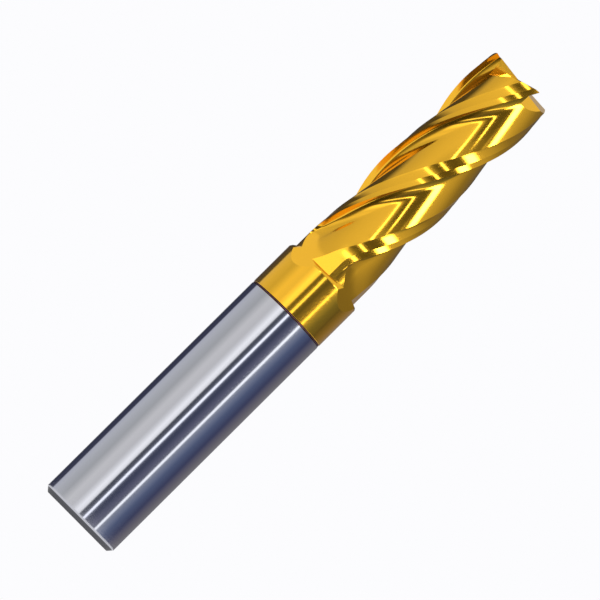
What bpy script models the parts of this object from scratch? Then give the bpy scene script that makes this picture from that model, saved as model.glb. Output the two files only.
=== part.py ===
"""Solid end mill, four flutes, right-hand cut, on a plain cylindrical shank.

The tool stands upright: +Z is its axis, pointing to the cutting end, and the
origin is the middle of the flat rear face of the shank.  Units are metres.
Pieces: shank, braze_joint, cutting_head.
"""
import math

import bmesh
import bpy
import numpy as np
from mathutils import Matrix, Vector

# ---------------------------------------------------------------- dimensions
MM = 0.001
SHANK_D = 9.525 * MM          # 3/8 in shank
CUT_D = 8.731 * MM            # 11/32 in across the cutting edges
LENGTH = 64.8 * MM
REAR_CHAMFER = 0.6 * MM
JOINT_Z = 30.2 * MM           # rear face of the joint
JOINT_T = 0.22 * MM           # thickness of the braze between the faces
JOINT_INSET = 0.04 * MM       # the braze lies just under flush
SPIGOT_D = 5.0 * MM
SPIGOT_LEN = 6.0 * MM
SLEEVE_T = 0.12 * MM          # braze around the spigot
FIT = 0.03 * MM               # clearance between touching pieces

FLUTES = 4
HELIX_DEG = 30.0
EDGE_AZIMUTH_DEG = -59.0      # where one cutting edge stands at the tip
STEP_TOP = 36.2 * MM          # short cone between shank and cutting diameter
STEP_LOW = 35.6 * MM
RELIEF_END = 36.0 * MM
FLUTE_EXIT = 34.4 * MM        # where the flute leaves the neck
EXIT_SLOPE = 0.36
WHEEL_R = 31.0 * MM           # radius of the wheel that ground the flute
LIFT_START = 42.0 * MM
FLATTEN_TOP = 41.8 * MM
FLATTEN_LOW = 36.1 * MM
TWIST_STOP = 38.7 * MM        # the work stops turning as the wheel runs out

PRIMARY_DEG = 14.0            # relief angles behind the cutting edge
SECONDARY_DEG = 24.0
PRIMARY_WIDTH_DEG = 9.0
HEEL_DEG = 24.0
HEEL_R = 0.945                # as a share of the cutting radius
BACK_NORMAL_DEG = -43.0       # how the back of the tooth leaves the heel
BACK_R, BACK_TURN = 1.04, 39.0    # its arc, in cutting radii and degrees
GULLET_R, GULLET_TURN = 0.535, 28.0
CORNER_R = 0.07               # where the gullet meets the rake face
RAKE_DEG = 10.0

DISH_DEG = 1.6                # the end teeth fall toward the middle
END_PRIMARY_DEG = 7.0
END_PRIMARY_W = 0.55 * MM
END_SECONDARY_DEG = 20.0
GASH_START = 1.25 * MM        # distance of the gash from the axis at the end
GASH_DEG = 46.0
GASH_OPEN_DEG = 80.0

SEGMENTS = 64
LAND_A, LAND_B, FLUTE_N = 3, 3, 16


# ------------------------------------------------------------------ materials
def metal(name, colour, roughness):
    """A plain Principled metal."""
    mat = bpy.data.materials.new(name)
    mat.use_nodes = True
    shader = mat.node_tree.nodes["Principled BSDF"]
    shader.inputs["Base Color"].default_value = (*colour, 1.0)
    shader.inputs["Metallic"].default_value = 1.0
    shader.inputs["Roughness"].default_value = roughness
    return mat


def new_object(name, bm, mat):
    """Turn a bmesh into a smooth-shaded object with one material."""
    mesh = bpy.data.meshes.new(name)
    bmesh.ops.recalc_face_normals(bm, faces=bm.faces[:])
    bm.to_mesh(mesh)
    bm.free()
    mesh.materials.append(mat)
    mesh.shade_smooth()
    mesh.set_sharp_from_angle(angle=math.radians(25))
    obj = bpy.data.objects.new(name, mesh)
    bpy.context.collection.objects.link(obj)
    return obj


# --------------------------------------------------------------- turned parts
def ring(bm, radius, z, count=SEGMENTS):
    """One circle of vertices."""
    verts = []
    for i in range(count):
        a = 2 * math.pi * i / count
        verts.append(bm.verts.new((radius * math.cos(a), radius * math.sin(a), z)))
    return verts


def skin(bm, lower, upper):
    """Quads between two rings of the same count."""
    count = len(lower)
    for i in range(count):
        j = (i + 1) % count
        bm.faces.new((lower[i], lower[j], upper[j], upper[i]))


def turned(name, profile, mat, closed=False):
    """Turn (radius, z) points about Z; open profiles get flat end caps."""
    bm = bmesh.new()
    rings = [ring(bm, r, z) for r, z in profile]
    for a, b in zip(rings, rings[1:]):
        skin(bm, a, b)
    if closed:
        skin(bm, rings[-1], rings[0])
    else:
        bm.faces.new(rings[0])
        bm.faces.new(rings[-1])
    return new_object(name, bm, mat)


# ---------------------------------------------------------- flute cross-section
def polar(radius, degrees):
    a = math.radians(degrees)
    return np.array((radius * math.cos(a), radius * math.sin(a)))


def travel(start, heading, radius, turn, count):
    """Points on an arc that sets off on a heading and turns left by an angle."""
    h0 = math.radians(heading)
    h = h0 + np.radians(np.linspace(0.0, turn, count))
    side = radius if turn > 0 else -radius
    x = start[0] + side * (np.sin(h) - math.sin(h0))
    y = start[1] - side * (np.cos(h) - math.cos(h0))
    return np.stack((x, y), -1)


def flute_curve():
    """The flute at full depth in units of the cutting radius.

    The tooth's edge is at angle 0 and the next edge behind it at -90 degrees.
    The curve runs over the heel, down the convex back, along the gullet, round
    its corner and up the rake face, and on past the diameter at both ends.
    """
    heel = polar(HEEL_R, -HEEL_DEG)
    edge = polar(1.0, -90.0)
    heading = BACK_NORMAL_DEG - 90.0
    down = polar(1.0, heading)
    out = polar(1.0, RAKE_DEG - 90.0)
    back = travel(heel, heading, BACK_R, -BACK_TURN, 170)
    heading -= BACK_TURN
    gullet = travel(back[-1], heading, GULLET_R, GULLET_TURN, 80)
    heading += GULLET_TURN
    corner = travel(gullet[-1], heading, CORNER_R, RAKE_DEG - 90.0 - heading, 80)
    rake = np.linspace(corner[-1], edge, 50)
    lead_in = np.linspace(heel - down * 0.4, heel, 40)
    lead_out = np.linspace(edge, edge + out * 0.4, 40)
    parts = (lead_in[:-1], back[:-1], gullet[:-1], corner[:-1], rake[:-1], lead_out)
    return np.vstack(parts)


CURVE = flute_curve()
CHORD_NORMAL_DEG = -54.5
OUTWARD = polar(1.0, CHORD_NORMAL_DEG)
ALONG = polar(1.0, CHORD_NORMAL_DEG - 90.0)


def body_radius(z):
    """Outer radius of the ground blank at height z."""
    if z >= STEP_TOP:
        return CUT_D / 2
    if z <= STEP_LOW:
        return SHANK_D / 2
    t = (z - STEP_LOW) / (STEP_TOP - STEP_LOW)
    return SHANK_D / 2 + t * (CUT_D - SHANK_D) / 2


def land_radius(angle, z):
    """Radius of the tooth's land at angles (degrees) from its edge."""
    a = np.radians(angle)
    first = math.radians(PRIMARY_DEG)
    second = math.radians(SECONDARY_DEG)
    width = math.radians(PRIMARY_WIDTH_DEG)
    p1 = math.cos(first)
    p2 = p1 / math.cos(first - width) * math.cos(second - width)
    r1 = p1 / np.maximum(np.cos(a + first), 0.3)
    r2 = p2 / np.maximum(np.cos(a + second), 0.3)
    ground = np.minimum(r1, r2) * CUT_D / 2 + 2.5 * max(0.0, RELIEF_END - z)
    return np.minimum(ground, body_radius(z))


def smooth_step(x):
    x = min(1.0, max(0.0, x))
    return x * x * (3 - 2 * x)


def edge_angle(z):
    """Azimuth in degrees of the tooth's edge at height z."""
    lead = math.pi * CUT_D / math.tan(math.radians(HELIX_DEG))
    blend = 0.9 * MM
    d = z - TWIST_STOP
    if d < -blend:
        turned_z = TWIST_STOP
    elif d < blend:
        turned_z = TWIST_STOP + (d + blend) ** 2 / (4 * blend)
    else:
        turned_z = z
    return EDGE_AZIMUTH_DEG - 360.0 * (LENGTH - turned_z) / lead


def flute_at(z):
    """The flute curve at height z, lifted and flattened where it runs out."""
    radius = CUT_D / 2
    lift = max(0.0, LIFT_START - z) ** 2 / (2 * WHEEL_R)
    full = CURVE * radius + OUTWARD * lift
    d = z - FLUTE_EXIT
    floor = SHANK_D / 2 - EXIT_SLOPE * d + d * d / (2 * WHEEL_R)
    flat = OUTWARD * floor + np.outer(CURVE @ ALONG, ALONG) * radius
    w = smooth_step((FLATTEN_TOP - z) / (FLATTEN_TOP - FLATTEN_LOW))
    return full * (1 - w) + flat * w


def tooth_outline(z):
    """One tooth's outline, edge to edge, as (radius, angle in degrees)."""
    pts = flute_at(z)
    rad = np.hypot(pts[:, 0], pts[:, 1])
    ang = np.degrees(np.arctan2(pts[:, 1], pts[:, 0]))
    own = np.where(ang > -57.0, ang, ang + 90.0)
    inside = np.nonzero(rad < land_radius(own, z) - 2e-6)[0]
    n = FLUTE_N
    if len(inside) < 4:
        half = 1.5
        flute_a = np.linspace(CHORD_NORMAL_DEG + half, CHORD_NORMAL_DEG - half, n + 1)
        flute_r = np.full(n + 1, body_radius(z))
    else:
        gap = rad - land_radius(own, z)
        i, j = inside[0] - 1, inside[-1]
        ti = gap[i] / (gap[i] - gap[i + 1])
        tj = gap[j] / (gap[j] - gap[j + 1])
        u = np.linspace(i + ti, j + tj, n + 1)
        index = np.arange(len(pts))
        x = np.interp(u, index, pts[:, 0])
        y = np.interp(u, index, pts[:, 1])
        flute_r = np.hypot(x, y)
        flute_a = np.degrees(np.arctan2(y, x))
    edge = flute_a[-1] + 90.0
    heel = flute_a[0]
    bend = -PRIMARY_WIDTH_DEG
    start = min(edge, 0.0) - 0.6
    first = np.linspace(start, bend, LAND_A + 1)[:-1]
    second = np.linspace(bend, heel, LAND_B + 1)[:-1]
    land_a = np.concatenate(([edge], first, second))
    land_r = land_radius(land_a, z)
    land_r[0] = flute_r[-1]
    return np.concatenate((land_r, flute_r[:-1])), np.concatenate((land_a, flute_a[:-1]))


def head_ring(bm, z):
    """All four teeth at height z."""
    rad, ang = tooth_outline(z)
    start = edge_angle(z)
    verts = []
    for k in range(FLUTES):
        for r, a in zip(rad, ang):
            t = math.radians(start + a - 90.0 * k)
            verts.append(bm.verts.new((r * math.cos(t), r * math.sin(t), z)))
    return verts


def plain_ring(bm, radius, z, like):
    """A circle whose vertices keep the azimuths of another ring."""
    verts = []
    for v in like:
        a = math.atan2(v.co.y, v.co.x)
        verts.append(bm.verts.new((radius * math.cos(a), radius * math.sin(a), z)))
    return verts


def head_heights():
    """Heights of the rings: close together in the run-out, even in the helix."""
    low = np.array((33.8, 34.2, 34.45, 34.65, 34.9, 35.2, 35.5, 35.62, 35.78, 35.92, 35.99, 36.06))
    mid = np.array((36.19, 36.5, 36.9, 37.3, 37.7, 38.1, 38.5, 39.0, 39.5, 40.1, 40.8, 41.5))
    top = np.linspace(42.1, LENGTH / MM, 24)
    return np.concatenate((low, mid, top)) * MM


def cutting_blank(mat):
    """Spigot, neck and fluted body in one loft."""
    bm = bmesh.new()
    face_z = JOINT_Z + JOINT_T + FIT
    rings = [head_ring(bm, z) for z in head_heights()]
    base = plain_ring(bm, SHANK_D / 2, face_z, rings[0])
    root = plain_ring(bm, SPIGOT_D / 2, face_z, rings[0])
    low = plain_ring(bm, SPIGOT_D / 2, face_z - SPIGOT_LEN + 0.3 * MM, rings[0])
    tip = plain_ring(bm, SPIGOT_D / 2 - 0.3 * MM, face_z - SPIGOT_LEN, rings[0])
    stack = [tip, low, root, base] + rings
    for a, b in zip(stack, stack[1:]):
        skin(bm, a, b)
    bm.faces.new(tip)
    bm.faces.new(rings[-1])
    return new_object("cutting_head", bm, mat)


# -------------------------------------------------------------- end-tooth cuts
def cutter(name, corners, faces, turn_deg):
    """A convex cutting body, turned about Z, kept out of the model."""
    bm = bmesh.new()
    verts = [bm.verts.new(c) for c in corners]
    for f in faces:
        bm.faces.new([verts[i] for i in f])
    bmesh.ops.recalc_face_normals(bm, faces=bm.faces[:])
    bmesh.ops.transform(bm, matrix=Matrix.Rotation(math.radians(turn_deg), 4, "Z"),
                        verts=bm.verts[:])
    mesh = bpy.data.meshes.new(name)
    bm.to_mesh(mesh)
    bm.free()
    obj = bpy.data.objects.new(name, mesh)
    bpy.context.collection.objects.link(obj)
    obj.hide_render = True
    obj.display_type = "WIRE"
    return obj


def end_relief(turn_deg, tag):
    """Grinds one tooth's end: dish, primary and secondary relief.

    Local X runs along the end edge; the relief falls toward -Y.
    """
    span = CUT_D / 2 + 0.8 * MM
    drop = math.tan(math.radians(DISH_DEG))
    y1 = END_PRIMARY_W
    z1 = -y1 * math.tan(math.radians(END_PRIMARY_DEG))
    z2 = z1 - (span - y1) * math.tan(math.radians(END_SECONDARY_DEG))
    section = ((0.0, 0.0), (-y1, z1), (-span, z2), (-span, 2 * MM), (0.0, 2 * MM))
    corners = []
    for x in (-0.015 * MM, span):
        for y, z in section:
            slope = (x - CUT_D / 2) * drop if z < MM else 0.0
            corners.append((x, y + 0.012 * MM, LENGTH + z + slope))
    faces = [(0, 1, 2, 3, 4), (5, 6, 7, 8, 9)]
    for i in range(5):
        j = (i + 1) % 5
        faces.append((i, j, j + 5, i + 5))
    return cutter("end_relief_" + tag, corners, faces, turn_deg)


def gash(turn_deg, tag):
    """The V-shaped notch that opens the end edge in front of one tooth.

    Local X runs along the end edge, +Y is ahead of it.  The root of the notch
    goes down and outward; one wall holds the end edge.
    """
    g = math.radians(GASH_DEG)
    v = math.radians(GASH_OPEN_DEG)
    along = Vector((math.cos(g), 0.0, -math.sin(g)))
    up = Vector((math.sin(g), 0.0, math.cos(g)))
    wall = up * math.cos(v) + Vector((0.0, 1.0, 0.0)) * math.sin(v)
    root = Vector((GASH_START, -0.008 * MM, LENGTH - 0.08 * MM))
    size = 7 * MM
    corners = []
    for s in (-1.2 * MM, 5.5 * MM):
        p = root + along * s
        corners += [p, p + up * size, p + wall * size]
    faces = [(0, 1, 2), (3, 4, 5), (0, 1, 4, 3), (1, 2, 5, 4), (2, 0, 3, 5)]
    return cutter("gash_" + tag, corners, faces, turn_deg)


def cut(obj, tool):
    """Subtract a cutter with an exact Boolean."""
    mod = obj.modifiers.new(tool.name, "BOOLEAN")
    mod.operation = "DIFFERENCE"
    mod.solver = "EXACT"
    mod.object = tool


# ------------------------------------------------------------------- assembly
def build():
    for obj in list(bpy.data.objects):
        bpy.data.objects.remove(obj, do_unlink=True)
    steel = metal("ground_steel", (0.42, 0.44, 0.50), 0.2)
    silver = metal("silver_braze", (0.20, 0.14, 0.13), 0.5)
    gold = metal("titanium_nitride_coating", (0.83, 0.56, 0.10), 0.22)

    rs = SHANK_D / 2
    bore = SPIGOT_D / 2 + SLEEVE_T + 2 * FIT
    floor = JOINT_Z - SPIGOT_LEN - 0.1 * MM
    turned("shank", ((rs - REAR_CHAMFER, 0.0), (rs, REAR_CHAMFER), (rs, JOINT_Z),
                     (bore, JOINT_Z), (bore, floor)), steel)

    inner = SPIGOT_D / 2 + FIT
    outer = inner + SLEEVE_T
    z0 = JOINT_Z + FIT
    z1 = JOINT_Z + JOINT_T
    turned("braze_joint", ((inner, floor + 0.5 * MM), (outer, floor + 0.5 * MM), (outer, z0),
                           (rs - JOINT_INSET, z0), (rs - JOINT_INSET, z1), (inner, z1)),
           silver, closed=True)

    head = cutting_blank(gold)
    for k in range(FLUTES):
        turn = EDGE_AZIMUTH_DEG - 90.0 * k
        cut(head, end_relief(turn, str(k + 1)))
        cut(head, gash(turn, str(k + 1)))


build()
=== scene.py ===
"""An end mill standing on its shank: ground steel, a braze line and a gold-coated cutting head."""
import math

import bmesh
import bpy
import numpy as np
from mathutils import Matrix, Vector


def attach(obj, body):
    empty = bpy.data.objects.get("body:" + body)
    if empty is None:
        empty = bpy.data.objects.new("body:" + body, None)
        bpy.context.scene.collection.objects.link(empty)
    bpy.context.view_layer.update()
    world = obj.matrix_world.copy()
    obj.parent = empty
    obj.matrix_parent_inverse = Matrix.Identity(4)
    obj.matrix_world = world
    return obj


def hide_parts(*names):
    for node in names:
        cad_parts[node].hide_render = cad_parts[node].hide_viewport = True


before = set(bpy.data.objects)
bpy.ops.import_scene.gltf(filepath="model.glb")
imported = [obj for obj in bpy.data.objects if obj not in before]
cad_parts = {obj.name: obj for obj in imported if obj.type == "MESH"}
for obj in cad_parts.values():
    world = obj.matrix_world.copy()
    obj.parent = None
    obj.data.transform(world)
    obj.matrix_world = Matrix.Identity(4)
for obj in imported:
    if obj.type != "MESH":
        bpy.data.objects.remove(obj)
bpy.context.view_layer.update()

# ------------------------------------------------------------------ shank
# The shank is a hardened steel rod, turned and then cylindrical ground to size
# between centres, with a chamfer at its rear end and a socket for the head.
MM = 0.001
SHANK_R = 4.7625 * MM
JOINT_Z = 30.2 * MM
REAR_CHAMFER = 0.5 * MM
SOCKET_R = 2.68 * MM
SOCKET_FLOOR = 24.1 * MM
CENTRE_R = 0.35 * MM
EDGE_ROUND, EDGE_SET = 0.1 * MM, 0.04 * MM
FACE_BREAK = 0.03 * MM
SIDE_ROWS_MM = (0.8, 30.0, 24)
SHANK_SIDES, SMOOTH_DEG = 256, 30


def grid_mesh(name, points, cap_low=True, cap_high=True):
    """A closed loft: points[i, j] are rows of rings joined by quads, with flat ends.

    Row i is a ring, column j runs round it; quad (i, j) joins it to i+1 and j+1.
    """
    rows, cols, _ = points.shape
    index = np.arange(rows * cols).reshape(rows, cols)
    here, there = index[:-1], index[1:]
    quads = np.stack((here, np.roll(here, -1, 1), np.roll(there, -1, 1), there), -1)
    faces = quads.reshape(-1, 4).tolist()
    if cap_low:
        faces.append(index[0][::-1].tolist())
    if cap_high:
        faces.append(index[-1].tolist())
    mesh = bpy.data.meshes.new(name)
    mesh.from_pydata(points.reshape(-1, 3), [], faces)
    mesh.update()
    return mesh


def turned_grid(profile, count):
    """Each (radius, z) of the profile carried round the Z axis on equal angles."""
    r, z = np.asarray(profile).T
    a = np.linspace(0.0, 2 * np.pi, count, endpoint=False)
    x = np.outer(r, np.cos(a))
    y = np.outer(r, np.sin(a))
    return np.stack((x, y, np.repeat(z[:, None], count, 1)), -1)


def arc(centre, radius, start, end, count):
    """Points on a circle in the (radius, z) plane from one angle to another, in degrees."""
    t = np.radians(np.linspace(start, end, count))
    return np.stack((centre[0] + radius * np.cos(t), centre[1] + radius * np.sin(t)), -1)


def solid(name, mesh, sharp_deg):
    """An object at the origin with smooth faces and edges sharp above an angle."""
    mesh.shade_smooth()
    mesh.set_sharp_from_angle(angle=math.radians(sharp_deg))
    obj = bpy.data.objects.new(name, mesh)
    bpy.context.scene.collection.objects.link(obj)
    return obj


def shank_profile():
    """From the rear face out over the rounded chamfer, up the ground cylinder, into the socket."""
    flat_r = SHANK_R - REAR_CHAMFER - EDGE_SET
    rear = [(CENTRE_R, 0.0), (flat_r, 0.0)]
    lower = arc((flat_r, EDGE_ROUND), EDGE_ROUND, -88, -47, 5)
    upper = arc((SHANK_R - EDGE_ROUND, REAR_CHAMFER + EDGE_SET), EDGE_ROUND, -43, 0, 7)
    side = [(SHANK_R, z * MM) for z in np.linspace(*SIDE_ROWS_MM)]
    front = [(SHANK_R, JOINT_Z - FACE_BREAK), (SHANK_R - FACE_BREAK, JOINT_Z)]
    bore = [(SOCKET_R, JOINT_Z), (SOCKET_R, SOCKET_FLOOR)]
    return np.vstack((rear, lower, upper, side, front, bore))


shank_points = turned_grid(shank_profile(), SHANK_SIDES)
shank = solid("shank_ground", grid_mesh("shank_ground", shank_points), SMOOTH_DEG)


def linear(text):
    """An sRGB hex colour such as 'c8ccd4' as linear RGBA."""
    v = np.array([int(text[i:i + 2], 16) / 255 for i in (0, 2, 4)])
    v = np.where(v <= 0.04045, v / 12.92, ((v + 0.055) / 1.055) ** 2.4)
    return (*v.tolist(), 1.0)


def add(tree, kind, settings=(), **links):
    """Add a node.  A setting named 'in:X' sets input X's value and any other a property; a link
    feeds the input of its own name, with _ for a space, or of its number after a _."""
    node = tree.nodes.new(kind)
    for key, value in dict(settings).items():
        if key.startswith("in:"):
            socket = node.inputs[int(key[3:])] if key[3:].isdigit() else node.inputs[key[3:]]
            socket.default_value = value
        else:
            setattr(node, key, value)
    for key, source in links.items():
        name = key[1:] if key[0] == "_" else key.replace("_", " ")
        tree.links.new(source, node.inputs[int(name)] if name.isdigit() else node.inputs[name])
    return node


def ramp(tree, source, stops):
    """A linear colour ramp with (position, linear RGBA) stops fed by source."""
    node = add(tree, "ShaderNodeValToRGB", _0=source)
    bar = node.color_ramp.elements
    while len(bar) > 1:
        bar.remove(bar[-1])
    bar[0].position, bar[0].color = stops[0]
    for position, colour in stops[1:]:
        bar.new(position).color = colour
    return node.outputs["Color"]


def new_material(name, colour, metallic, roughness):
    """A Principled material with its constant values on the shader's own sockets."""
    mat = bpy.data.materials.new(name)
    mat.use_nodes = True
    tree = mat.node_tree
    shader = tree.nodes["Principled BSDF"]
    shader.inputs["Base Color"].default_value = linear(colour)
    shader.inputs["Metallic"].default_value = metallic
    shader.inputs["Roughness"].default_value = roughness
    return mat, tree, shader


RINGS_PER_M = (60.0, 60.0, 8300.0)
WIPES_PER_M = (900.0, 900.0, 60.0)
STEEL_ROUGH = (0.06, 0.12)
SCRATCH_DEEP = 0.00002


def ground_steel():
    """Hardened tool steel, cylindrical ground to h6: near-mirror, with fine rings from the
    wheel (drawn 0.12 mm apart, real ones are finer) and faint wipe marks along it."""
    mat, tree, shader = new_material("cylindrical_ground_steel", "bcbdc4", 1.0, 0.16)
    place = add(tree, "ShaderNodeTexCoord").outputs["Object"]
    rings = add(tree, "ShaderNodeMapping", {"in:Scale": RINGS_PER_M}, Vector=place)
    lines = add(tree, "ShaderNodeTexNoise", {"in:Scale": 1.0, "in:Detail": 3.0},
                Vector=rings.outputs[0])
    wipes = add(tree, "ShaderNodeMapping", {"in:Scale": WIPES_PER_M}, Vector=place)
    smear = add(tree, "ShaderNodeTexNoise", {"in:Scale": 1.0, "in:Detail": 2.0},
                Vector=wipes.outputs[0])
    rough = add(tree, "ShaderNodeMapRange", {"in:3": STEEL_ROUGH[0], "in:4": STEEL_ROUGH[1]},
                Value=smear.outputs["Fac"])
    tree.links.new(rough.outputs[0], shader.inputs["Roughness"])
    bump = add(tree, "ShaderNodeBump", {"in:Strength": 0.035, "in:Distance": SCRATCH_DEEP},
               Height=lines.outputs["Fac"])
    tree.links.new(bump.outputs[0], shader.inputs["Normal"])
    return mat


shank.data.materials.append(ground_steel())
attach(shank, "root")
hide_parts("shank")

# ------------------------------------------------------------------ braze
# Silver braze joins the head to the shank.  It shows as a thin darker line
# round the tool, heat-tinted brown, and lies a little under flush.
BRAZE_T = 0.22 * MM
BRAZE_R = SHANK_R - 0.03 * MM
BRAZE_EDGE = 0.06 * MM
SPIGOT_R = 2.5 * MM
SLEEVE_IN, SLEEVE_OUT, SLEEVE_LOW = SPIGOT_R + 0.03 * MM, SPIGOT_R + 0.15 * MM, 24.8 * MM
FACE_GAP = 0.02 * MM
BRAZE_SIDES = 192


def braze_profile():
    """A thin disc between the faces with a sleeve round the spigot below it."""
    z0, z1 = JOINT_Z + FACE_GAP, JOINT_Z + BRAZE_T
    sleeve = [(SLEEVE_IN, SLEEVE_LOW), (SLEEVE_OUT, SLEEVE_LOW), (SLEEVE_OUT, z0)]
    rim = arc((BRAZE_R - BRAZE_EDGE, (z0 + z1) / 2), BRAZE_EDGE, -80, 80, 7)
    return np.vstack((sleeve, rim, [(SLEEVE_IN, z1)]))


ring_points = turned_grid(braze_profile(), BRAZE_SIDES)
ring_points = np.concatenate((ring_points, ring_points[:1]))
braze_mesh = grid_mesh("braze_ring", ring_points, False, False)
work = bmesh.new()
work.from_mesh(braze_mesh)
bmesh.ops.remove_doubles(work, verts=work.verts[:], dist=1e-7)
bmesh.ops.recalc_face_normals(work, faces=work.faces[:])
work.to_mesh(braze_mesh)
work.free()
braze = solid("braze_ring", braze_mesh, SMOOTH_DEG)


def silver_braze():
    """Silver brazing alloy after heating: dull, with brown to violet oxide in patches
    about 1 mm across."""
    mat, tree, shader = new_material("oxidised_silver_braze", "6b4a52", 1.0, 0.45)
    place = add(tree, "ShaderNodeTexCoord").outputs["Object"]
    noise = add(tree, "ShaderNodeTexNoise", {"in:Scale": 900.0, "in:Detail": 3.0}, Vector=place)
    tint = ramp(tree, noise.outputs["Fac"], ((0.35, linear("5a3f3a")), (0.65, linear("77556a"))))
    tree.links.new(tint, shader.inputs["Base Color"])
    return mat


braze.data.materials.append(silver_braze())
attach(braze, "root")
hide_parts("braze_joint")

# ------------------------------------------------------------ cutting head
# The head is one piece of sintered carbide.  A wheel grinds the four helical
# flutes and lifts out at the neck, two relief facets are ground behind each
# edge, the end teeth are notched and relieved, and then it is coated.
CUT_R = 4.3655 * MM
LENGTH = 64.8 * MM
STEP_LOW, STEP_TOP = 35.6 * MM, 36.2 * MM
RELIEF_END, RELIEF_RISE = 36.0 * MM, 2.5
FLUTE_EXIT, EXIT_SLOPE = 34.4 * MM, 0.36
WHEEL_R, LIFT_START = 31.0 * MM, 42.0 * MM
FLATTEN_LOW, FLATTEN_TOP = 36.1 * MM, 41.8 * MM
TWIST_STOP, TWIST_BLEND = 38.7 * MM, 0.9 * MM
HELIX_DEG = 30.0
EDGE_AZIMUTH_DEG = -59.0
PRIMARY_DEG, PRIMARY_WIDTH_DEG, SECONDARY_DEG = 14.0, 9.0, 24.0
HEEL_R, HEEL_DEG = 0.945, 24.0
BACK_NORMAL_DEG, BACK_R, BACK_TURN = -43.0, 1.04, 39.0
GULLET_R, GULLET_TURN, CORNER_R = 0.535, 30.0, 0.06
RAKE_DEG = 15.0
CHORD_NORMAL_DEG = -54.5
LEAD = 0.4
TEETH, PITCH_DEG = 4, 90.0
MARGIN_DEG = 0.4


def polar(radius, degrees):
    """A plane point at a radius and an angle in degrees."""
    a = math.radians(degrees)
    return np.array((radius * math.cos(a), radius * math.sin(a)))


def travel(start, heading, radius, turn, count):
    """A circular arc from a point: it sets off on a heading and turns left by an angle.

    x = x0 + r (sin h - sin h0), y = y0 - r (cos h - cos h0); a negative turn bends right."""
    h0 = math.radians(heading)
    h = h0 + np.radians(np.linspace(0.0, turn, count))
    side = radius if turn > 0 else -radius
    return np.stack((start[0] + side * (np.sin(h) - math.sin(h0)),
                     start[1] - side * (np.cos(h) - math.cos(h0))), -1)


def flute_curve():
    """The flute's section in cutting radii: over the heel, down the convex back,
    along the gullet, round its corner and up the rake face, with a lead at both ends.
    The tooth's own edge is at angle 0, the next edge behind it at -90 degrees."""
    heel = polar(HEEL_R, -HEEL_DEG)
    edge = polar(1.0, -PITCH_DEG)
    heading = BACK_NORMAL_DEG - 90.0
    down = polar(1.0, heading)
    out = polar(1.0, RAKE_DEG - 90.0)
    back = travel(heel, heading, BACK_R, -BACK_TURN, 170)
    heading -= BACK_TURN
    gullet = travel(back[-1], heading, GULLET_R, GULLET_TURN, 80)
    heading += GULLET_TURN
    corner = travel(gullet[-1], heading, CORNER_R, RAKE_DEG - 90.0 - heading, 80)
    rake = np.linspace(corner[-1], edge, 50)
    lead_in = np.linspace(heel - down * LEAD, heel, 40)
    lead_out = np.linspace(edge, edge + out * LEAD, 40)
    return np.vstack((lead_in[:-1], back[:-1], gullet[:-1], corner[:-1], rake[:-1], lead_out))


def body_radius(z):
    """Shank radius below the step, cutting radius above it, a straight cone between."""
    return np.interp(z, (STEP_LOW, STEP_TOP), (SHANK_R, CUT_R))


def land_radius(angle, z):
    """Radius of the land at angles from its edge: the lower of two flat facets,
    p / cos(angle + facet), and of the turned body, rising again below the lands."""
    a = np.radians(angle)
    first, second, width = np.radians((PRIMARY_DEG, SECONDARY_DEG, PRIMARY_WIDTH_DEG))
    p1 = math.cos(first)
    p2 = p1 / math.cos(first - width) * math.cos(second - width)
    r1 = p1 / np.maximum(np.cos(a + first), 0.3)
    r2 = p2 / np.maximum(np.cos(a + second), 0.3)
    ground = np.minimum(r1, r2) * CUT_R + RELIEF_RISE * np.maximum(0.0, RELIEF_END - z)
    return np.minimum(ground, body_radius(z))


def edge_angle(z):
    """Azimuth of the edge: a helix that stops turning, over a short blend, in the run-out."""
    lead = 2 * math.pi * CUT_R / math.tan(math.radians(HELIX_DEG))
    d = np.clip(z - TWIST_STOP, -TWIST_BLEND, None)
    followed = np.where(d < TWIST_BLEND, (d + TWIST_BLEND) ** 2 / (4 * TWIST_BLEND), d)
    return EDGE_AZIMUTH_DEG - 360.0 * (LENGTH - TWIST_STOP - followed) / lead


def flute_sections(z):
    """The section at each height: lifted on the wheel's circle and flattened in the run-out."""
    curve = flute_curve()
    outward = polar(1.0, CHORD_NORMAL_DEG)
    along = polar(1.0, CHORD_NORMAL_DEG - 90.0)
    z = z[:, None, None]
    lift = np.maximum(0.0, LIFT_START - z) ** 2 / (2 * WHEEL_R)
    full = curve * CUT_R + outward * lift
    d = z - FLUTE_EXIT
    floor = SHANK_R - EXIT_SLOPE * d + d * d / (2 * WHEEL_R)
    flat = outward * floor + np.outer(curve @ along, along) * CUT_R
    w = np.clip((FLATTEN_TOP - z) / (FLATTEN_TOP - FLATTEN_LOW), 0.0, 1.0)
    w = w * w * (3 - 2 * w)
    return full * (1 - w) + flat * w


NEXT_TOOTH_DEG = -57.0
TOUCH = 2e-7
PLAIN_DEG = 3.0


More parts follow.
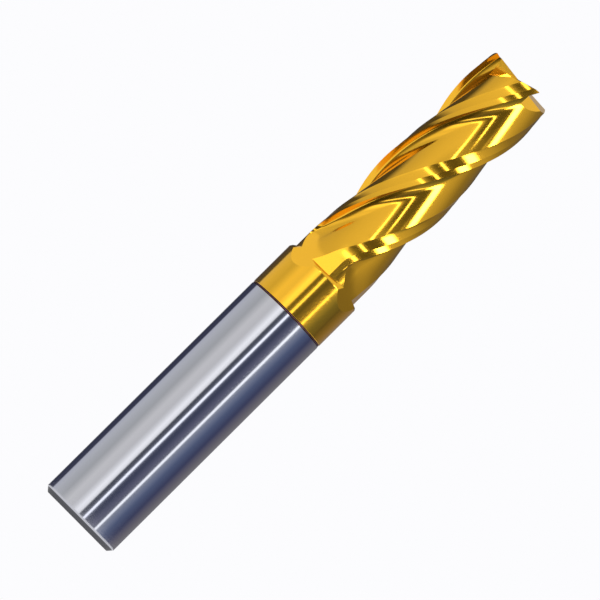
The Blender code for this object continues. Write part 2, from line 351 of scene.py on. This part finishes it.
def tooth_rings(z, n_margin, n_first, n_second, n_flute):
    """One tooth's outline at every height, edge to edge, as (radius, angle) arrays.

    Each ring is split where the flute meets the land, so the edges lie on mesh lines.
    Where no flute is cut, its points close up on a short piece of the turned body."""
    pts = flute_sections(z)
    rad = np.hypot(pts[..., 0], pts[..., 1])
    ang = np.degrees(np.arctan2(pts[..., 1], pts[..., 0]))
    own = np.where(ang > NEXT_TOOTH_DEG, ang, ang + PITCH_DEG)
    gap = rad - land_radius(own, z[:, None])
    inside = gap < -TOUCH
    cut = inside.sum(1) > 3
    last = rad.shape[1] - 1
    i = np.clip(np.argmax(inside, 1) - 1, 0, last - 1)
    j = np.clip(last - np.argmax(inside[:, ::-1], 1), 0, last - 1)
    row = np.arange(len(z))
    ti = gap[row, i] / (gap[row, i] - gap[row, i + 1])
    tj = gap[row, j] / (gap[row, j] - gap[row, j + 1])
    share = np.linspace(0.0, 1.0, n_flute + 1)
    u = (i + ti)[:, None] * (1 - share) + (j + tj)[:, None] * share
    k = np.clip(u.astype(int), 0, last - 1)
    f = (u - k)[..., None]
    p = pts[row[:, None], k] * (1 - f) + pts[row[:, None], k + 1] * f
    flute_r = np.hypot(p[..., 0], p[..., 1])
    flute_a = np.degrees(np.arctan2(p[..., 1], p[..., 0]))
    plain_a = CHORD_NORMAL_DEG + PLAIN_DEG / 2 - PLAIN_DEG * share
    flute_r = np.where(cut[:, None], flute_r, body_radius(z)[:, None])
    flute_a = np.where(cut[:, None], flute_a, plain_a)
    edge = flute_a[:, -1] + PITCH_DEG
    heel = flute_a[:, 0]
    s0, s1, s2 = [np.linspace(0, 1, n + 1)[:-1] for n in (n_margin, n_first, n_second)]
    start = np.minimum(edge, 0.0)[:, None] - MARGIN_DEG
    margin = edge[:, None] * (1 - s0) + start * s0
    first = start * (1 - s1) - PRIMARY_WIDTH_DEG * s1
    second = -PRIMARY_WIDTH_DEG * (1 - s2) + heel[:, None] * s2
    land_a = np.hstack((margin, first, second))
    land_r = land_radius(land_a, z[:, None])
    land_r[:, 0] = flute_r[:, -1]
    return np.hstack((land_r, flute_r[:, :-1])), np.hstack((land_a, flute_a[:, :-1]))


def head_points(z, *counts):
    """A copy of the tooth outline for each tooth, turned to the edge's azimuth."""
    rad, ang = tooth_rings(z, *counts)
    turn = edge_angle(z)[:, None]
    a = np.radians(np.hstack([turn + ang - PITCH_DEG * k for k in range(TEETH)]))
    r = np.hstack([rad] * TEETH)
    return np.stack((r * np.cos(a), r * np.sin(a), np.repeat(z[:, None], r.shape[1], 1)), -1)


def circle_row(radius, z, like):
    """A plain circle whose points keep the azimuths of another row."""
    a = np.arctan2(like[:, 1], like[:, 0])
    return np.stack((radius * np.cos(a), radius * np.sin(a), np.full(len(a), z)), -1)[None]


RUN_OUT_ROWS_MM = (33.9, 36.8, 70)
BODY_ROWS_MM = (36.86, 64.8, 240)
COLUMNS = (5, 6, 10, 42)
SPIGOT_LOW, SPIGOT_SIDE_LOW, SPIGOT_CHAMFER = 24.4 * MM, 24.7 * MM, 0.3 * MM
SPIGOT_CENTRE_R = 0.4 * MM
NECK_ROWS = (31.5 * MM, 33.0 * MM)

heights = np.concatenate((np.linspace(*RUN_OUT_ROWS_MM), np.linspace(*BODY_ROWS_MM))) * MM
teeth = head_points(heights, *COLUMNS)[:, ::-1]
face_z = JOINT_Z + BRAZE_T + FACE_GAP
rows = [circle_row(r, zz, teeth[0]) for r, zz in (
    (SPIGOT_CENTRE_R, SPIGOT_LOW), (SPIGOT_R - SPIGOT_CHAMFER, SPIGOT_LOW),
    (SPIGOT_R, SPIGOT_SIDE_LOW), (SPIGOT_R, face_z), (SHANK_R - FACE_BREAK, face_z),
    (SHANK_R, face_z + FACE_BREAK), *((SHANK_R, z) for z in NECK_ROWS))]
head = solid("coated_head", grid_mesh("coated_head", np.concatenate(rows + [teeth])), SMOOTH_DEG)


def wedge(corners, faces, turn_deg):
    """A closed cutting body turned about the tool's axis."""
    mesh = bpy.data.meshes.new("wedge")
    mesh.from_pydata(corners, [], faces)
    work = bmesh.new()
    work.from_mesh(mesh)
    bmesh.ops.recalc_face_normals(work, faces=work.faces[:])
    bmesh.ops.transform(work, matrix=Matrix.Rotation(math.radians(turn_deg), 4, "Z"),
                        verts=work.verts[:])
    work.to_mesh(mesh)
    work.free()
    obj = bpy.data.objects.new("wedge", mesh)
    bpy.context.scene.collection.objects.link(obj)
    return obj


END_REACH, END_TOP = CUT_R + 0.8 * MM, 2 * MM
END_LAND, END_FIRST_DEG, END_SECOND_DEG, DISH_DEG = 0.55 * MM, 7.0, 20.0, 1.6
END_PAST_X, END_PAST_Y = 0.015 * MM, 0.012 * MM


def end_relief(turn_deg):
    """What the wheel takes off one tooth's end: a dish, then two steeper relief facets.
    It reaches a hair past the axis and past the edge, so no two cuts share a plane."""
    z1 = -END_LAND * math.tan(math.radians(END_FIRST_DEG))
    z2 = z1 - (END_REACH - END_LAND) * math.tan(math.radians(END_SECOND_DEG))
    section = ((0.0, 0.0), (-END_LAND, z1), (-END_REACH, z2), (-END_REACH, END_TOP), (0.0, END_TOP))
    dish = math.tan(math.radians(DISH_DEG))
    corners = [(x, y + END_PAST_Y, LENGTH + z + ((x - CUT_R) * dish if z < MM else 0.0))
               for x in (-END_PAST_X, END_REACH) for y, z in section]
    faces = [(0, 1, 2, 3, 4), (5, 6, 7, 8, 9)]
    faces += [(i, (i + 1) % 5, (i + 1) % 5 + 5, i + 5) for i in range(5)]
    return wedge(corners, faces, turn_deg)


GASH_SLOPE_DEG, GASH_OPEN_DEG = 46.0, 80.0
GASH_ROOT = Vector((1.25 * MM, -0.008 * MM, LENGTH - 0.08 * MM))
GASH_FROM, GASH_TO, GASH_WALL = -1.2 * MM, 5.5 * MM, 7 * MM


def gash(turn_deg):
    """The V notch ahead of one end edge: its root runs down and outward on a slope,
    one wall holds the edge and the other opens away from it."""
    g, v = math.radians(GASH_SLOPE_DEG), math.radians(GASH_OPEN_DEG)
    along = Vector((math.cos(g), 0.0, -math.sin(g)))
    up = Vector((math.sin(g), 0.0, math.cos(g)))
    wall = up * math.cos(v) + Vector((0.0, 1.0, 0.0)) * math.sin(v)
    starts = [GASH_ROOT + along * s for s in (GASH_FROM, GASH_TO)]
    corners = [q for p in starts for q in (p, p + up * GASH_WALL, p + wall * GASH_WALL)]
    faces = [(0, 1, 2), (3, 4, 5), (0, 1, 4, 3), (1, 2, 5, 4), (2, 0, 3, 5)]
    return wedge(corners, faces, turn_deg)


CREASE_DEG = 8
cutters = [f(EDGE_AZIMUTH_DEG - PITCH_DEG * k) for k in range(TEETH) for f in (end_relief, gash)]
for tool in cutters:
    step = head.modifiers.new("grind", "BOOLEAN")
    step.operation = "DIFFERENCE"
    step.solver = "EXACT"
    step.object = tool
ground = bpy.data.meshes.new_from_object(head.evaluated_get(bpy.context.evaluated_depsgraph_get()))
head.modifiers.clear()
head.data = ground
for tool in cutters:
    bpy.data.objects.remove(tool, do_unlink=True)
ground.shade_smooth()
ground.set_sharp_from_angle(angle=math.radians(CREASE_DEG))


MARKS_PER_M = (9000.0, 9000.0, 260.0)
GOLD_ROUGH = (0.06, 0.15)


def nitride_gold():
    """Titanium nitride on ground carbide, laid down as vapour: a warm gold metal with the
    wheel's scratches under it, running along the helix.  They are drawn 0.11 mm apart and
    4 mm long; real ones are finer."""
    mat, tree, shader = new_material("titanium_nitride_coating", "f6bb34", 0.95, 0.1)
    place = add(tree, "ShaderNodeTexCoord").outputs["Object"]
    height = add(tree, "ShaderNodeSeparateXYZ", _0=place).outputs["Z"]
    twist = math.tan(math.radians(HELIX_DEG)) / CUT_R
    angle = add(tree, "ShaderNodeMath", {"operation": "MULTIPLY", "in:1": -twist}, _0=height)
    straight = add(tree, "ShaderNodeVectorRotate", {"rotation_type": "Z_AXIS"},
                   Vector=place, Angle=angle.outputs[0])
    drawn = add(tree, "ShaderNodeMapping", {"in:Scale": MARKS_PER_M},
                Vector=straight.outputs[0])
    marks = add(tree, "ShaderNodeTexNoise", {"in:Scale": 1.0, "in:Detail": 3.0},
                Vector=drawn.outputs[0])
    rough = add(tree, "ShaderNodeMapRange", {"in:3": GOLD_ROUGH[0], "in:4": GOLD_ROUGH[1]},
                Value=marks.outputs["Fac"])
    tree.links.new(rough.outputs[0], shader.inputs["Roughness"])
    bump = add(tree, "ShaderNodeBump", {"in:Strength": 0.05, "in:Distance": SCRATCH_DEEP},
               Height=marks.outputs["Fac"])
    tree.links.new(bump.outputs[0], shader.inputs["Normal"])
    return mat


head.data.materials.clear()
head.data.materials.append(nitride_gold())
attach(head, "root")
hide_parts("cutting_head")

# ------------------------------------------------------------------ floor
# A plain round light panel under the tool: matt opal acrylic lit from below, with a soft contact
# shadow painted into its glow close round the shank, which also darkens the chamfer's reflection.
FLOOR_SIDES, FLOOR_R, FLOOR_DROP = 128, 70, 0.00002
PAINTED_SHADOW_IN, PAINTED_SHADOW_OUT = 4.6 * MM, 6.6 * MM
PAINTED_SHADOW_GLOW, GLOW_FULL = 0.15, 0.94
floor_mesh = bpy.data.meshes.new("floor")
around = np.linspace(0.0, 2 * np.pi, FLOOR_SIDES, endpoint=False)
rim = np.stack((np.cos(around), np.sin(around), 0 * around), -1) * FLOOR_R * MM
floor_mesh.from_pydata(rim, [], [list(range(FLOOR_SIDES))])
floor = bpy.data.objects.new("floor", floor_mesh)
floor.location.z = -FLOOR_DROP
bpy.context.scene.collection.objects.link(floor)
floor_mat, _, panel = new_material("lit_opal_acrylic", "404042", 0.0, 0.9)
panel.inputs["Emission Color"].default_value = linear("fcfcfe")
spot = add(floor_mat.node_tree, "ShaderNodeTexCoord").outputs["Object"]
reach = add(floor_mat.node_tree, "ShaderNodeVectorMath", {"operation": "LENGTH"}, _0=spot)
# The glow is turned down in a ring round the axis: a painted contact shadow, not one the tool
# casts.
glow = add(floor_mat.node_tree, "ShaderNodeMapRange",
           {"interpolation_type": "SMOOTHERSTEP", "in:1": PAINTED_SHADOW_IN, "in:2": PAINTED_SHADOW_OUT,
            "in:3": PAINTED_SHADOW_GLOW, "in:4": GLOW_FULL}, Value=reach.outputs["Value"])
floor_mat.node_tree.links.new(glow.outputs[0], panel.inputs["Emission Strength"])
floor_mesh.materials.append(floor_mat)

# ------------------------------------------------------------------ studio
# Soft strip lights and dark screens stand round the tool at a distance, in four tiers
# by height.  The level tier has cool grey screens and the others are neutral; the
# lens itself sees a plain white backdrop.
world = bpy.data.worlds.new("studio")
bpy.context.scene.world = world
world.use_nodes = True
air = world.node_tree
air.nodes.clear()
LEVEL = (
    (-180, "8a8a90", 1.0), (-152, "35384c", 1.0), (-143, "45485f", 1.0), (-127, "484b60", 1.0),
    (-122, "dee0eb", 1.0), (-106, "e3e5e9", 1.0), (-77, "d2d4d4", 1.0), (-55, "fffefc", 1.0),
    (-37, "f6f5f4", 1.0), (-29, "ffffff", 1.15), (-20, "ffffff", 1.6), (-11.5, "ffffff", 1.4),
    (-8.5, "60646f", 1.0), (-4, "5e626e", 1.0), (1.5, "7c8090", 1.0),
    (4.0, "f6f8ff", 2.1), (7.0, "f6f8ff", 2.1), (10, "787e94", 1.0), (14, "585c72", 1.0),
    (20, "4f556f", 1.0), (33, "71728b", 1.0), (42, "787b8c", 1.0), (45, "fafcff", 1.9),
    (48, "fafcff", 1.9), (51, "a4aaba", 1.0), (63, "8a94b0", 1.0), (75, "667396", 1.0),
    (99, "4e5375", 1.0), (116, "757283", 1.0), (137, "878388", 1.0), (180, "8a8a90", 1.0))
MIDDLE = (
    (-180, "333333", 1.0), (-126, "464646", 1.0), (-105, "cecece", 1.0), (-70, "e3e3e3", 1.0),
    (-30, "efefef", 1.0), (-20, "efefef", 1.1), (-18.5, "ffffff", 4.0), (-16.5, "ffffff", 4.0),
    (-14, "cecece", 1.0), (-8, "7c7c7c", 1.0), (-4, "505050", 1.0), (3.4, "595959", 1.0),
    (4.8, "ffffff", 7.0), (6.0, "ffffff", 7.0), (7.4, "595959", 1.0), (22, "494949", 1.0),
    (36, "575757", 1.0), (40, "ffffff", 12.0), (51, "ffffff", 12.0), (56, "cecece", 1.0),
    (80, "b8b8b8", 1.0), (110, "838383", 1.0), (180, "333333", 1.0))
HIGH = (
    (-180, "b8b8b8", 1.0), (-162, "d3d3d3", 1.0), (-125, "ededed", 1.0), (-95, "f7f7f7", 1.0),
    (-60, "efefef", 1.0), (-45, "d6d6d6", 1.0), (-28, "d3d3d3", 1.0), (-21, "cecece", 1.0),
    (-19.5, "ffffff", 7.0), (-16.5, "ffffff", 7.0), (-15, "b8b8b8", 1.0), (-2, "b3b3b3", 1.0),
    (14, "888888", 1.0), (26, "757575", 1.0), (30, "d6d6d6", 1.2), (32, "919191", 1.0),
    (38, "7e7e7e", 1.0), (42, "ffffff", 12.0), (50, "ffffff", 12.0), (55, "efefef", 1.3),
    (74, "d2d2d2", 1.1), (92, "9d9d9d", 1.0), (105, "757575", 1.0), (150, "5e5e5e", 1.0),
    (180, "b8b8b8", 1.0))
LOW = (
    (-180, "999999", 1.0), (-120, "8a8a8a", 1.0), (-60, "7a7a7a", 1.0), (-20, "474747", 1.0),
    (0, "1d1d1d", 1.0), (30, "212121", 1.0), (60, "555555", 1.0), (90, "9f9f9f", 1.0),
    (125, "d7d7d7", 1.0), (160, "d7d7d7", 1.0), (180, "999999", 1.0))
OVERHEAD = "ececec"
PEAK = 12.0
LOW_TO_LEVEL, LEVEL_TO_MIDDLE = (-0.32, -0.16), (0.10, 0.15)
MIDDLE_TO_HIGH, HIGH_TO_OVERHEAD = (0.38, 0.44), (0.66, 0.80)
way = add(air, "ShaderNodeTexCoord").outputs["Generated"]
axis = add(air, "ShaderNodeSeparateXYZ", _0=way)
back = add(air, "ShaderNodeMath", {"operation": "MULTIPLY", "in:1": -1.0}, _0=axis.outputs["Y"])
bearing = add(air, "ShaderNodeMath", {"operation": "ARCTAN2"},
              _0=axis.outputs["X"], _1=back.outputs[0])
share = add(air, "ShaderNodeMapRange", {"in:1": -math.pi, "in:2": math.pi},
            _0=bearing.outputs[0])


def strips(bands):
    """Upright bands of light: (bearing in degrees, colour, strength) read round the tool."""
    stops = [((a + 180) / 360, (*[c * k / PEAK for c in linear(h)[:3]], 1.0)) for a, h, k in bands]
    return ramp(air, share.outputs[0], stops)


def between(low_z, high_z):
    """Goes from 0 to 1 as the direction rises from one height to another."""
    return add(air, "ShaderNodeMapRange", {"interpolation_type": "SMOOTHSTEP", "in:1": low_z,
                                           "in:2": high_z}, _0=axis.outputs["Z"]).outputs[0]


def blend(amount, first, second):
    """Mixes two colours by an amount."""
    node = add(air, "ShaderNodeMix", {"data_type": "RGBA"}, _0=amount, _6=first, _7=second)
    return node.outputs[2]


overhead = add(air, "ShaderNodeRGB")
overhead.outputs[0].default_value = [c / PEAK for c in linear(OVERHEAD)]
ceiling = blend(between(*HIGH_TO_OVERHEAD), strips(HIGH), overhead.outputs[0])
upper = blend(between(*MIDDLE_TO_HIGH), strips(MIDDLE), ceiling)
lower = blend(between(*LOW_TO_LEVEL), strips(LOW), strips(LEVEL))
whole = blend(between(*LEVEL_TO_MIDDLE), lower, upper)
studio = add(air, "ShaderNodeBackground", {"in:Strength": PEAK}, Color=whole)
paper = add(air, "ShaderNodeBackground", {"in:Color": linear("fcfcfe")})
seen = add(air, "ShaderNodeLightPath").outputs["Is Camera Ray"]
mixed = add(air, "ShaderNodeMixShader", _0=seen, _1=studio.outputs[0], _2=paper.outputs[0])
add(air, "ShaderNodeOutputWorld", Surface=mixed.outputs[0])

# ------------------------------------------------------------------ camera
# A long lens at the height of the floor, looking slightly up at the tool's middle
# and rolled so that the tool lies corner to corner.
AIM = Vector((0.0, 0.0, 32.4 * MM))
RISE = math.radians(-4.128)
ROLL = math.radians(45.21)
FOCAL_MM, SENSOR_MM, AWAY_MM = 261.2, 36.0, 450.0
lens = bpy.data.cameras.new("camera")
lens.lens = FOCAL_MM
lens.sensor_width = SENSOR_MM
lens.clip_start = 0.01
camera = bpy.data.objects.new("camera", lens)
bpy.context.scene.collection.objects.link(camera)
toward = Vector((0.0, -math.cos(RISE), math.sin(RISE)))
right = Vector((1.0, 0.0, 0.0))
upward = toward.cross(right)
frame_x = right * math.cos(ROLL) + upward * math.sin(ROLL)
frame_y = upward * math.cos(ROLL) - right * math.sin(ROLL)
turn = Matrix((frame_x, frame_y, toward)).transposed().to_4x4()
camera.matrix_world = Matrix.Translation(AIM + toward * AWAY_MM * MM) @ turn
bpy.context.scene.camera = camera
bpy.context.scene.view_settings.view_transform = "Standard"
